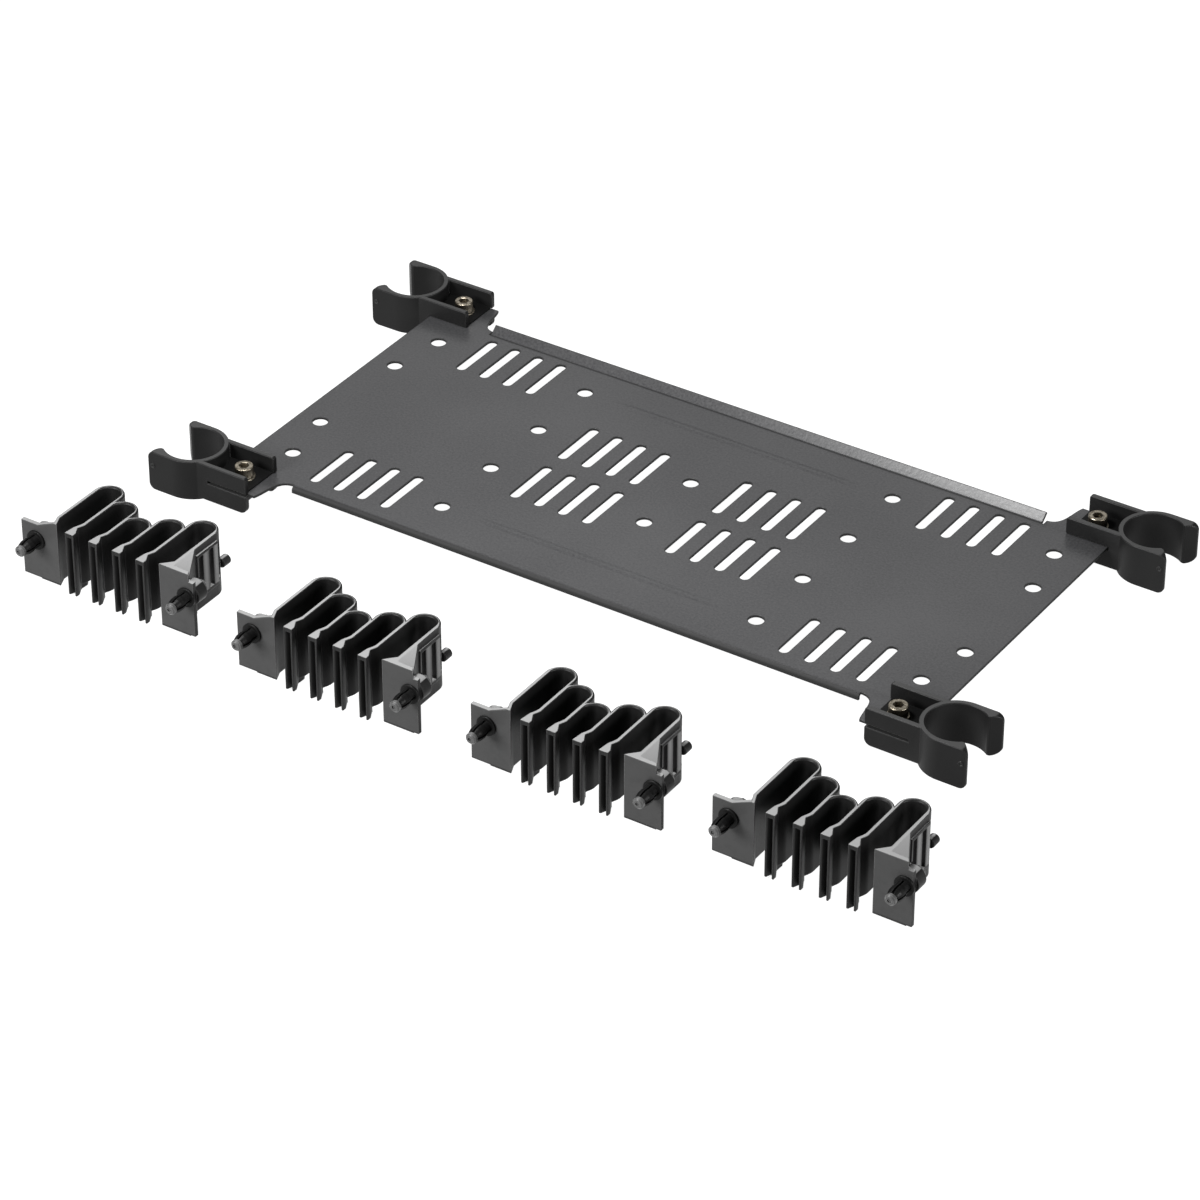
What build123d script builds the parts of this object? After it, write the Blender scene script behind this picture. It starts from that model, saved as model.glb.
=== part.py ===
"""Rack cable manager: a folded, slotted sheet shelf that four clip-on post clamps hold in a rack,
and the four five-channel cable combs that push into its holes, laid out in a row in front of it.

Millimetres, +Z up, +X along the shelf. The origin is the centre of the sheet's top face.
"""
import os
from math import cos, radians, sin, sqrt

from build123d import *

os.makedirs("parts", exist_ok=True)

# Grid that the shelf and the combs share
hole_pitch = 96.0
row_pitch = 45.0
slot_pitch = 15.0
slots_per_group = 4
# Sheet
sheet_gauge = 1.5
sheet_length = 424.0
sheet_depth = 191.0
hole_dia = 8.4
slot_length = 35.0
slot_width = 5.6
edge_hole_inset = 14.0
edge_hole_y = 34.5
flange_inset = 39.5
front_flange_drop = 3.8
rear_flange_rise = 4.0
rear_flange_tilt = 40.0
bend_inner_radius = 1.0
bend_relief = 1.0
ear_reach = 18.0
ear_root_run = 11.0
ear_root_lean = 0.4
# Post clamp
post_dia = 32.0
ring_wall = 2.8
post_beyond_end = 19.5
post_beyond_side = 6.0
throat_half = 12.6
throat_land = 1.5
jaw_reach = 16.0
jaw_tip_wall = 1.8
jaw_corner_radius = 4.0
clamp_top = 9.8
clamp_bottom = -13.5
channel_overlap = 24.5
channel_width = 28.0
channel_wall = 3.0
channel_bottom = -12.0
web_thickness = 3.0
slit_clearance = 0.3
slit_end_clearance = 0.5
channel_corner_radius = 4.0
channel_top_radius = 1.5
# Clamp fastener
screw_inset = 13.5
screw_dia = 6.0
screw_hole_dia = 6.6
screw_head_dia = 10.0
screw_head_height = 6.0
screw_socket_flats = 5.0
screw_socket_depth = 3.5
screw_end_past_nut = 1.0
washer_dia = 12.0
washer_thickness = 1.6
nut_flats = 10.0
nut_height = 5.0
screw_edge_break = 0.6
# Cable comb
comb_places = ((-194.4, -223.0), (-51.7, -230.6), (90.5, -232.3), (228.4, -231.8))
channel_count = 5
comb_wall = 2.0
comb_height = 37.5
comb_depth = 49.5
depth_step = 8.2
blade_clearance = 3.0
blade_width = 5.2
blade_length = 7.0
blade_groove = 3.0
blade_cap = 2.5
wave_shift = 1.8
wave_front = 6.5
wave_rear = 13.0
blade_lean = 1.0
blade_skew = 2.4
lean_rear = 9.5
tab_setback = 3.5
wall_lean = {-1: 2.5, 1: 5.5}
tab_outer = {-1: 57.5, 1: 52.3}
slope_start = {-1: 0.0, 1: 6.0}
tab_thickness = 2.5
tab_top = 32.8
tab_bottom = 0.5
tab_slope_run = 10.5
rib_count = 2
rib_thickness = 1.8
rib_spacing = 8.0
rib_margin = 4.0
gusset_rear_y = 24.0
left_gusset_top = 24.0
peg_dia = 5.5
peg_length = 3.5
peg_z = 15.0
window_count = 3
window_width = 3.6
window_pitch = 8.6
window_front = 25.4
window_bottom = 9.0
window_top = 31.5
window_margin = 2.0
pad_thickness = 1.0
pad_rear_y = 41.5
# Push rivet through each comb tab
rivet_z = 23.5
boss_dia = 12.0
boss_length = 7.0
sleeve_dia = 8.0
sleeve_reach = 12.0
sleeve_collar_dia = 11.0
sleeve_collar = 1.4
sleeve_slit = 1.2
pin_dia = 4.0
pin_tip_dia = 6.0
pin_tip_length = 2.5
pin_knob_dia = 8.0
pin_knob_length = 3.5
rivet_clearance = 0.15
knob_clearance = 1.0
tip_bevel = 0.8
knob_radius = 1.2

sheet_under = -sheet_gauge
floor_z = clamp_bottom
half_length = sheet_length / 2
half_depth = sheet_depth / 2
flange_length = sheet_length - 2 * flange_inset
ear_y = half_depth + ear_reach
post_offset_x = half_length + post_beyond_end
post_offset_y = half_depth + post_beyond_side
screw_x = half_length - screw_inset
bend_outer_radius = bend_inner_radius + sheet_gauge
front_root_y = bend_outer_radius - half_depth
front_bend_z = sheet_under - bend_inner_radius
rear_tilt = radians(rear_flange_tilt)
rear_tip_y = half_depth - sheet_gauge * sin(rear_tilt)
rear_straight = (rear_flange_rise - bend_inner_radius * (1 - cos(rear_tilt))) / sin(rear_tilt)
rear_bend_y = rear_tip_y - bend_inner_radius * sin(rear_tilt) - rear_straight * cos(rear_tilt)
past = 1.0


def slot_group_centres():
    """Centres of the slot groups: outer ones on the outer rows, inner ones on the inner rows."""
    outer = [(sx * 1.5 * hole_pitch, sy * 1.5 * row_pitch) for sx in (-1, 1) for sy in (-1, 1)]
    inner = [(sx * 0.5 * hole_pitch, sy * 0.5 * row_pitch) for sx in (-1, 1) for sy in (-1, 1)]
    return outer + inner


def round_hole_centres():
    """Columns one pitch apart: the end ones on the outer rows, the middle one on the inner rows."""
    centres = [(0, sy * row_pitch / 2) for sy in (-1, 1)]
    for sx in (-1, 1):
        centres += [(sx * hole_pitch, k * row_pitch) for k in (-1.5, -0.5, 0.5, 1.5)]
        centres += [(sx * 2 * hole_pitch, k * row_pitch) for k in (-1.5, 1.5)]
        centres += [(sx * (half_length - edge_hole_inset), sy * edge_hole_y) for sy in (-1, 1)]
    return centres


def rear_bend_point(radius, share):
    """Y and Z of a point on the rear bend, at a share of its tilt."""
    angle = share * rear_tilt
    return (rear_bend_y + radius * sin(angle), bend_inner_radius - radius * cos(angle))


def corner_signs():
    """The four corners by name, with the signs of their X and Y."""
    return {"front_left": (-1, -1), "front_right": (1, -1), "rear_left": (-1, 1), "rear_right": (1, 1)}


# Sheet: blank with four ears, two bent edges, round holes and slots
with BuildPart() as shelf_sheet:
    with BuildSketch(Plane.XY.offset(sheet_under)):
        Rectangle(sheet_length, 2 * (half_depth - bend_outer_radius))
        for sx, sy in corner_signs().values():
            with BuildLine():
                ear = Polyline(
                    (sx * flange_length / 2, sy * (half_depth - bend_outer_radius - past)),
                    (sx * flange_length / 2, sy * (half_depth - bend_outer_radius)),
                )
                sweep_end = (sx * (flange_length / 2 + ear_root_run), sy * ear_y)
                Spline(ear @ 1, sweep_end, tangents=[(sx, 0), (sx * ear_root_lean, sy)])
                Polyline(
                    sweep_end,
                    (sx * half_length, sy * ear_y),
                    (sx * half_length, sy * (half_depth - bend_outer_radius - past)),
                    ear @ 0,
                )
            make_face()
    extrude(amount=sheet_gauge)
    # Front edge, bent straight down
    with BuildSketch(Plane.YZ.offset(-flange_length / 2)):
        with BuildLine():
            Line((front_root_y, sheet_under), (front_root_y, 0))
            ThreePointArc(
                (front_root_y, 0),
                (front_root_y - bend_outer_radius / sqrt(2), front_bend_z + bend_outer_radius / sqrt(2)),
                (-half_depth, front_bend_z),
            )
            Polyline(
                (-half_depth, front_bend_z),
                (-half_depth, -front_flange_drop),
                (sheet_gauge - half_depth, -front_flange_drop),
                (sheet_gauge - half_depth, front_bend_z),
            )
            ThreePointArc(
                (sheet_gauge - half_depth, front_bend_z),
                (front_root_y - bend_inner_radius / sqrt(2), front_bend_z + bend_inner_radius / sqrt(2)),
                (front_root_y, sheet_under),
            )
        make_face()
    extrude(amount=flange_length)
    # Rear edge, bent up and outwards, with a relief cut at each end of the bend
    with BuildSketch(Plane.XY):
        with Locations((0, rear_bend_y)):
            Rectangle(
                flange_length + 2 * bend_relief, half_depth - rear_bend_y, align=(Align.CENTER, Align.MIN)
            )
    extrude(amount=-sheet_gauge, mode=Mode.SUBTRACT)
    with BuildSketch(Plane.YZ.offset(-flange_length / 2)):
        with BuildLine():
            ThreePointArc(*[rear_bend_point(bend_inner_radius, share) for share in (0, 0.5, 1)])
            Polyline(
                rear_bend_point(bend_inner_radius, 1),
                (rear_tip_y, rear_flange_rise),
                (half_depth, rear_flange_rise - sheet_gauge * cos(rear_tilt)),
                rear_bend_point(bend_outer_radius, 1),
            )
            ThreePointArc(*[rear_bend_point(bend_outer_radius, share) for share in (1, 0.5, 0)])
            Line(rear_bend_point(bend_outer_radius, 0), rear_bend_point(bend_inner_radius, 0))
        make_face()
    extrude(amount=flange_length)
    with BuildSketch(Plane.XY):
        with Locations(*round_hole_centres()):
            Circle(hole_dia / 2)
        with Locations(*slot_group_centres()):
            with GridLocations(slot_pitch, 0, slots_per_group, 1):
                SlotOverall(slot_length, slot_width, rotation=90)
        with Locations(*[(sx * screw_x, sy * post_offset_y) for sx, sy in corner_signs().values()]):
            Circle(screw_hole_dia / 2)
    extrude(amount=-sheet_gauge, mode=Mode.SUBTRACT)
shelf_sheet.part.label = "shelf_sheet"
export_step(shelf_sheet.part, "parts/shelf_sheet.step")

# Post clamp, modelled at the rear right corner and mirrored to the other three
ring_inner = post_dia / 2
ring_outer = ring_inner + ring_wall
slit_end_x = half_length + slit_end_clearance
channel_inner_end = half_length - channel_overlap
throat_end_x = post_offset_x + sqrt(ring_inner**2 - throat_half**2) + throat_land
jaw_end_x = post_offset_x + jaw_reach
mouth_half = ring_outer - jaw_tip_wall
side_wall_end = post_offset_x - sqrt((ring_outer - ring_wall / 2) ** 2 - (channel_width / 2) ** 2)

with BuildPart() as clamp_form:
    # Ring with straight-backed jaws, each with a nib that narrows the throat
    with BuildSketch(Plane.XY.offset(clamp_bottom)):
        with Locations((post_offset_x, post_offset_y)):
            Circle(ring_outer)
            Rectangle(jaw_reach, 2 * ring_outer, align=(Align.MIN, Align.CENTER))
            Circle(ring_inner, mode=Mode.SUBTRACT)
        with BuildLine():
            Polyline(
                (post_offset_x, post_offset_y - throat_half),
                (throat_end_x, post_offset_y - throat_half),
                (jaw_end_x, post_offset_y - mouth_half),
                (post_offset_x + ring_outer + past, post_offset_y - mouth_half),
                (post_offset_x + ring_outer + past, post_offset_y + mouth_half),
                (jaw_end_x, post_offset_y + mouth_half),
                (throat_end_x, post_offset_y + throat_half),
                (post_offset_x, post_offset_y + throat_half),
                close=True,
            )
        make_face(mode=Mode.SUBTRACT)
    extrude(amount=clamp_top - clamp_bottom)
    # The jaws' upper and lower corners are rounded off, seen from the side
    with BuildSketch(Plane.XZ.offset(-post_offset_y - channel_width)):
        for z_edge, sz in ((clamp_top, 1), (clamp_bottom, -1)):
            with BuildLine():
                corner = (jaw_end_x, z_edge)
                start = (corner[0] - jaw_corner_radius, z_edge)
                end = (corner[0], z_edge - sz * jaw_corner_radius)
                turn_point = (
                    corner[0] - jaw_corner_radius * (1 - 1 / sqrt(2)),
                    z_edge - sz * jaw_corner_radius * (1 - 1 / sqrt(2)),
                )
                ThreePointArc(start, turn_point, end)
                Polyline(end, (corner[0] + past, end[1]), (corner[0] + past, z_edge + sz * past),
                         (start[0], z_edge + sz * past), start)
            make_face()
    extrude(amount=2 * channel_width, mode=Mode.SUBTRACT)
    # Box channel that reaches back over the sheet's ear, open above and at its inner end
    channel_length = post_offset_x - ring_inner - channel_inner_end
    with BuildSketch(Plane.XZ.offset(-post_offset_y - channel_width / 2)):
        with BuildLine():
            side_line = Polyline(
                (channel_inner_end + channel_top_radius, clamp_top),
                (side_wall_end, clamp_top),
                (side_wall_end, channel_bottom),
                (channel_inner_end + channel_corner_radius, channel_bottom),
            )
            lower_corner = RadiusArc(
                side_line @ 1, (channel_inner_end, channel_bottom + channel_corner_radius), channel_corner_radius
            )
            upper_corner = RadiusArc(
                side_line @ 0, (channel_inner_end, clamp_top - channel_top_radius), -channel_top_radius
            )
            Line(lower_corner @ 1, upper_corner @ 1)
        make_face()
    extrude(amount=channel_width)
    with BuildSketch(Plane.XY.offset(sheet_under)):
        with Locations((channel_inner_end - past, post_offset_y)):
            Rectangle(
                channel_length + 2 * past, channel_width - 2 * channel_wall, align=(Align.MIN, Align.CENTER)
            )
        with Locations((post_offset_x, post_offset_y)):
            Circle(ring_outer, mode=Mode.SUBTRACT)
    extrude(amount=clamp_top - sheet_under + past, mode=Mode.SUBTRACT)
    with BuildSketch(Plane.XY.offset(sheet_under - web_thickness)):
        with Locations((channel_inner_end - past, post_offset_y)):
            Rectangle(
                channel_length + 2 * past, channel_width - 2 * channel_wall, align=(Align.MIN, Align.CENTER)
            )
        with Locations((post_offset_x, post_offset_y)):
            Circle(ring_outer, mode=Mode.SUBTRACT)
    extrude(amount=clamp_bottom - sheet_under - past, mode=Mode.SUBTRACT)
    # Slit that the ear slides into, the bore of the post and the screw's hole
    with BuildSketch(Plane.XY.offset(sheet_under)):
        with Locations((slit_end_x, post_offset_y)):
            Rectangle(slit_end_x, channel_width + 2 * past, align=(Align.MAX, Align.CENTER))
    extrude(amount=sheet_gauge + slit_clearance, mode=Mode.SUBTRACT)
    with BuildSketch(Plane.XY.offset(clamp_bottom - past)):
        with Locations((post_offset_x, post_offset_y)):
            Circle(ring_inner)
        with Locations((screw_x, post_offset_y)):
            Circle(screw_hole_dia / 2)
    extrude(amount=clamp_top - clamp_bottom + 2 * past, mode=Mode.SUBTRACT)

# Screw, washer and nut of one clamp, drawn on the Z axis
head_seat = washer_thickness
screw_end = sheet_under - web_thickness - nut_height - screw_end_past_nut
with BuildPart() as screw_form:
    with BuildSketch(Plane.XY.offset(head_seat)):
        Circle(screw_head_dia / 2)
    extrude(amount=screw_head_height)
    chamfer(screw_form.edges().sort_by(Axis.Z)[-1], length=screw_edge_break)
    with BuildSketch(Plane.XY.offset(head_seat)):
        Circle(screw_dia / 2)
    extrude(amount=screw_end - head_seat)
    chamfer(screw_form.edges().sort_by(Axis.Z)[0], length=screw_edge_break)
    with BuildSketch(Plane.XY.offset(head_seat + screw_head_height)):
        RegularPolygon(screw_socket_flats / 2, 6, major_radius=False)
    extrude(amount=-screw_socket_depth, mode=Mode.SUBTRACT)

with BuildPart() as washer_form:
    with BuildSketch():
        Circle(washer_dia / 2)
        Circle(screw_hole_dia / 2, mode=Mode.SUBTRACT)
    extrude(amount=washer_thickness)

with BuildPart() as nut_form:
    with BuildSketch(Plane.XY.offset(sheet_under - web_thickness)):
        RegularPolygon(nut_flats / 2, 6, major_radius=False)
        Circle(screw_dia / 2, mode=Mode.SUBTRACT)
    extrude(amount=-nut_height)

for corner_name, (sx, sy) in corner_signs().items():
    with BuildPart() as post_clamp:
        add(clamp_form.part)
        if sx < 0:
            mirror(about=Plane.YZ, mode=Mode.REPLACE)
        if sy < 0:
            mirror(about=Plane.XZ, mode=Mode.REPLACE)
    post_clamp.part.label = f"post_clamp_{corner_name}"
    export_step(post_clamp.part, f"parts/post_clamp_{corner_name}.step")
    fastener_forms = {"clamp_screw": screw_form, "clamp_washer": washer_form, "clamp_nut": nut_form}
    for piece_name, form in fastener_forms.items():
        with BuildPart() as fastener:
            with Locations((sx * screw_x, sy * post_offset_y, 0)):
                add(form.part)
        fastener.part.label = f"{piece_name}_{corner_name}"
        export_step(fastener.part, f"parts/{piece_name}_{corner_name}.step")

# Cable comb, drawn with its centre line on X = 0, its blade tips on Y = 0 and its foot on Z = 0
cavity_width = slot_pitch - comb_wall
cavity_half = cavity_width / 2
outer_half = cavity_half + comb_wall
outer_wall_x = (channel_count - 1) / 2 * slot_pitch + outer_half
middle = (channel_count - 1) / 2


def channel_centre(index):
    """X of a channel's centre line."""
    return (index - middle) * slot_pitch


def channel_rear(index):
    """Y of the outer face of a channel's rounded end: the middle channel is the shortest."""
    return comb_depth - (middle - abs(index - middle)) * depth_step


def end_shift(index, side):
    """How far the front of an end channel's outer side stands inwards of its straight run."""
    if index != (channel_count - 1) * (side + 1) / 2:
        return None
    return -side * wall_lean[side]


def channel_side(index, side, half_width, front):
    """One side of a channel: inner walls weave to one side at the front, outer walls lean inwards."""
    x = channel_centre(index) + side * half_width
    lean = end_shift(index, side)
    if lean is None:
        return Spline((x, front), (x - wave_shift, wave_front), (x, wave_rear), tangents=[(0, 1), (0, 1)])
    return Polyline((x + lean, front), (x + lean, tab_setback), (x, lean_rear), (x, wave_rear))


def channel_outline(index, half_width, front):
    """Closed outline of a channel: its two sides and a half-round end."""
    centre = channel_centre(index)
    end_y = channel_rear(index) - outer_half
    left = channel_side(index, -1, half_width, front)
    right = channel_side(index, 1, half_width, front)
    Line(left @ 0, right @ 0)
    Line(left @ 1, (centre - half_width, end_y))
    ThreePointArc((centre - half_width, end_y), (centre, end_y + half_width), (centre + half_width, end_y))
    Line((centre + half_width, end_y), right @ 1)


with BuildPart() as comb_form:
    with BuildSketch():
        for index in range(channel_count):
            with BuildLine():
                channel_outline(index, outer_half, 0)
            make_face()
    extrude(amount=comb_height)
    with BuildSketch():
        for sx in (-1, 1):
            with Locations((sx * (outer_wall_x - comb_wall / 2), 0)):
                Rectangle(slot_pitch, 2 * tab_setback)
    extrude(amount=comb_height, mode=Mode.SUBTRACT)
    # Blades: wedge-shaped wall ends, grooved at the front under a closed cap
    with BuildSketch():
        for index in range(channel_count - 1):
            wall_x = channel_centre(index) + slot_pitch / 2
            with BuildLine():
                Polyline(
                    (wall_x - blade_lean - blade_width / 2, 0),
                    (wall_x - blade_lean + blade_width / 2, blade_skew),
                    (wall_x + comb_wall / 2 - wave_shift, blade_length),
                    (wall_x - comb_wall / 2 - wave_shift, blade_length),
                    close=True,
                )
            make_face()
    extrude(amount=comb_height)
    # Tabs that lie on the sheet, sloping up to the outer walls
    with BuildSketch(Plane.XZ.offset(-tab_setback)):
        for sx in (-1, 1):
            front_x = outer_wall_x - wall_lean[sx]
            slope_x = front_x + slope_start[sx]
            with BuildLine():
                Polyline(
                    (sx * (front_x - comb_wall), 0),
                    (sx * (front_x - comb_wall), comb_height),
                    (sx * slope_x, comb_height),
                    (sx * (slope_x + tab_slope_run), tab_top),
                    (sx * tab_outer[sx], tab_top),
                    (sx * tab_outer[sx], tab_bottom),
                    (sx * front_x, tab_bottom),
                    (sx * front_x, 0),
                    close=True,
                )
            make_face()
    extrude(amount=-tab_thickness)
    # Gusset between each tab and outer wall, over upright ribs: the right one slopes up to the wall's top
    for sx in (-1, 1):
        front_x = outer_wall_x - wall_lean[sx]
        slope_x = front_x + slope_start[sx]
        with BuildSketch():
            with BuildLine():
                Polyline(
                    (sx * front_x, tab_setback),
                    (sx * (slope_x + tab_slope_run), tab_setback),
                    (sx * outer_wall_x, gusset_rear_y),
                    (sx * (outer_wall_x - comb_wall), gusset_rear_y),
                    (sx * (outer_wall_x - comb_wall), lean_rear),
                    close=True,
                )
            make_face()
        extrude(amount=comb_height if sx > 0 else left_gusset_top)
    # Pad that thickens the right outer wall around its windows
    with BuildSketch(Plane.XY.offset(window_bottom - window_margin)):
        with Locations((outer_wall_x + pad_thickness, gusset_rear_y)):
            Rectangle(
                pad_thickness + comb_wall, pad_rear_y - gusset_rear_y, align=(Align.MAX, Align.MIN)
            )
    extrude(amount=window_top - window_bottom + 2 * window_margin)
    with BuildSketch(Plane.XZ.offset(-gusset_rear_y - past)):
        with BuildLine():
            Polyline(
                (outer_wall_x, comb_height),
                (outer_wall_x - wall_lean[1] + slope_start[1] + tab_slope_run, tab_top),
                (tab_outer[1] + past, tab_top),
                (tab_outer[1] + past, comb_height + past),
                (outer_wall_x, comb_height + past),
                close=True,
            )
        make_face()
    extrude(amount=gusset_rear_y - tab_setback - tab_thickness + past, mode=Mode.SUBTRACT)
    with BuildSketch(Plane.XY):
        for sx in (-1, 1):
            for gap in range(rib_count + 1):
                gap_front = tab_setback + tab_thickness + gap * rib_spacing
                with Locations((sx * outer_wall_x, gap_front)):
                    Rectangle(
                        tab_outer[sx] - outer_wall_x + past,
                        rib_spacing - rib_thickness,
                        align=(Align.MIN if sx > 0 else Align.MAX, Align.MIN),
                    )
    extrude(amount=left_gusset_top - rib_margin, mode=Mode.SUBTRACT)
    # Cavities
    with BuildSketch():
        for index in range(channel_count):
            with BuildLine():
                channel_outline(index, cavity_half, -past)
            make_face()
        for index in range(channel_count - 1):
            wall_x = channel_centre(index) + slot_pitch / 2
            with BuildLine():
                Polyline(
                    (wall_x - blade_lean - blade_width / 2, -2 * past),
                    (wall_x - blade_lean + blade_width / 2, -2 * past),
                    (wall_x - blade_lean + blade_width / 2, blade_skew),
                    (wall_x + comb_wall / 2 - wave_shift, blade_length),
                    (wall_x - comb_wall / 2 - wave_shift, blade_length),
                    (wall_x - blade_lean - blade_width / 2, 0),
                    close=True,
                )
            make_face(mode=Mode.SUBTRACT)
    extrude(amount=comb_height, mode=Mode.SUBTRACT)

    # Locating pegs at the rear of the end channels
    with BuildSketch(Plane.XZ.offset(-(comb_depth - comb_wall))):
        for sx in (-1, 1):
            with Locations((sx * (outer_wall_x - peg_dia / 2), peg_z)):
                Circle(peg_dia / 2)
    extrude(amount=-(comb_wall + peg_length))
    # Boss behind each tab and the hole for its rivet
    with BuildSketch(Plane.XZ.offset(-tab_setback - tab_thickness)):
        for sx in (-1, 1):
            with Locations((sx * hole_pitch / 2, rivet_z)):
                Circle(boss_dia / 2)
    extrude(amount=-boss_length)
    with BuildSketch(Plane.XZ.offset(-tab_setback + past)):
        for sx in (-1, 1):
            with Locations((sx * hole_pitch / 2, rivet_z)):
                Circle(pin_dia / 2 + rivet_clearance)
    extrude(amount=-(tab_thickness + boss_length + 2 * past), mode=Mode.SUBTRACT)
    with BuildSketch(Plane.XZ.offset(-tab_setback - tab_thickness - boss_length)):
        for sx in (-1, 1):
            with Locations((sx * hole_pitch / 2, rivet_z)):
                Circle(pin_knob_dia / 2 + knob_clearance)
    extrude(amount=-gusset_rear_y, mode=Mode.SUBTRACT)
    # Windows through the right outer wall for cable straps
    with BuildSketch(Plane.YZ.offset(channel_centre(channel_count - 1))):
        with Locations((window_front, (window_bottom + window_top) / 2)):
            with Locations(*[(k * window_pitch, 0) for k in range(window_count)]):
                Rectangle(
                    window_width, window_top - window_bottom, align=(Align.MIN, Align.CENTER)
                )
    extrude(amount=slot_pitch, mode=Mode.SUBTRACT)
    # Groove in the front of each blade, closed by the cap
    with BuildSketch():
        for index in range(channel_count - 1):
            wall_x = channel_centre(index) + slot_pitch / 2
            with BuildLine():
                Polyline(
                    (wall_x - blade_lean - blade_groove / 2, -past),
                    (wall_x - blade_lean + blade_groove / 2, -past),
                    (wall_x - blade_lean + blade_groove / 2, blade_skew / 2),
                    (wall_x - blade_lean, blade_length / 2),
                    (wall_x - blade_lean - blade_groove / 2, 0),
                    close=True,
                )
            make_face()
    extrude(amount=comb_height - blade_cap, mode=Mode.SUBTRACT)
    # The inner walls stand clear of the foot behind the blades
    with BuildSketch():
        with Locations((0, blade_length)):
            Rectangle(2 * (outer_wall_x - slot_pitch), comb_depth, align=(Align.CENTER, Align.MIN))
    extrude(amount=blade_clearance, mode=Mode.SUBTRACT)

# Push rivet of one tab: a slit sleeve that the sheet's hole takes, and the pin that spreads it
with BuildPart() as sleeve_form:
    with BuildSketch(Plane.XZ.offset(-tab_setback)):
        Circle(sleeve_collar_dia / 2)
    extrude(amount=sleeve_collar)
    with BuildSketch(Plane.XZ.offset(-tab_setback + sleeve_collar)):
        Circle(sleeve_dia / 2)
    extrude(amount=sleeve_reach - sleeve_collar)
    chamfer(sleeve_form.edges().sort_by(Axis.Y)[0], length=tip_bevel)
    with BuildSketch(Plane.XZ.offset(-tab_setback)):
        Circle(pin_dia / 2 + rivet_clearance)
    extrude(amount=sleeve_reach, mode=Mode.SUBTRACT)
    with BuildSketch(Plane.XZ.offset(-tab_setback + 2 * sleeve_collar)):
        Rectangle(sleeve_slit, sleeve_dia + past)
        Rectangle(sleeve_dia + past, sleeve_slit)
    extrude(amount=sleeve_reach, mode=Mode.SUBTRACT)

sleeve_end_y = tab_setback - sleeve_reach
knob_front_y = tab_setback + tab_thickness + boss_length
with BuildPart() as pin_form:
    with BuildSketch(Plane.XZ.offset(-sleeve_end_y)):
        Circle(pin_dia / 2)
    extrude(amount=-(knob_front_y - sleeve_end_y))
    with BuildSketch(Plane.XZ.offset(-sleeve_end_y)):
        Circle(pin_tip_dia / 2)
    extrude(amount=pin_tip_length)
    chamfer(pin_form.edges().sort_by(Axis.Y)[0], length=tip_bevel)
    with BuildSketch(Plane.XZ.offset(-knob_front_y)):
        Circle(pin_knob_dia / 2)
    extrude(amount=-pin_knob_length)
    fillet(pin_form.edges().sort_by(Axis.Y)[-1], radius=knob_radius)

for comb_number, (comb_x, comb_y) in enumerate(comb_places, start=1):
    comb_name = f"cable_comb_{comb_number}"
    with BuildPart() as cable_comb:
        with Locations((comb_x, comb_y, floor_z)):
            add(comb_form.part)
    cable_comb.part.label = comb_name
    export_step(cable_comb.part, f"parts/{comb_name}.step")
    for sx, side_name in ((-1, "left"), (1, "right")):
        for piece_name, form in (("rivet_sleeve", sleeve_form), ("rivet_pin", pin_form)):
            with BuildPart() as rivet_piece:
                with Locations((comb_x + sx * hole_pitch / 2, comb_y, floor_z + rivet_z)):
                    add(form.part)
            rivet_piece.part.label = f"{piece_name}_{comb_number}_{side_name}"
            export_step(rivet_piece.part, f"parts/{piece_name}_{comb_number}_{side_name}.step")
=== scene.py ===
import math

import bmesh
import bpy
import numpy as np
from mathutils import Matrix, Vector


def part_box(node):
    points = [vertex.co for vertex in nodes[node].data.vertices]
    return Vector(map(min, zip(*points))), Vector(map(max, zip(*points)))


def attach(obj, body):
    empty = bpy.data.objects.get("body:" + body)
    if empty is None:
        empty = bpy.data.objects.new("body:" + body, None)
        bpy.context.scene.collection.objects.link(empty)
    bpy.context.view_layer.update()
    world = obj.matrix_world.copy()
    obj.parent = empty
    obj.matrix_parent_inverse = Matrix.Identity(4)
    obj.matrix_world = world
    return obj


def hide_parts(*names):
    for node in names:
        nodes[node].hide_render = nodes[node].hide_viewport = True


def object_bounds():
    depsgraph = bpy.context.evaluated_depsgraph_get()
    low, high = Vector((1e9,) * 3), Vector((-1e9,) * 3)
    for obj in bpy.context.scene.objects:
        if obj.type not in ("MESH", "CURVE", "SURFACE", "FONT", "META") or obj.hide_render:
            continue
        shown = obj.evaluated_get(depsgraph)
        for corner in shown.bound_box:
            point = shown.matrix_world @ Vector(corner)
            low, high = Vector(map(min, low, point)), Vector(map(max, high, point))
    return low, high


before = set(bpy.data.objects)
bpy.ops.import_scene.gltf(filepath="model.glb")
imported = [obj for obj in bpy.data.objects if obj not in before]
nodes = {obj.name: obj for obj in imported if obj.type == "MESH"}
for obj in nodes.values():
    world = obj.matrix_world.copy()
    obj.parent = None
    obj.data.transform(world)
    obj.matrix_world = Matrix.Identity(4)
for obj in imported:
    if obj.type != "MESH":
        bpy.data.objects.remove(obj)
cadBounds = [[float(v) for v in corner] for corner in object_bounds()]
cornerSigns = {"front_left": (-1, -1), "front_right": (1, -1), "rear_left": (-1, 1), "rear_right": (1, 1)}
print("frame loaded:", len(nodes), "nodes")


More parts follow.
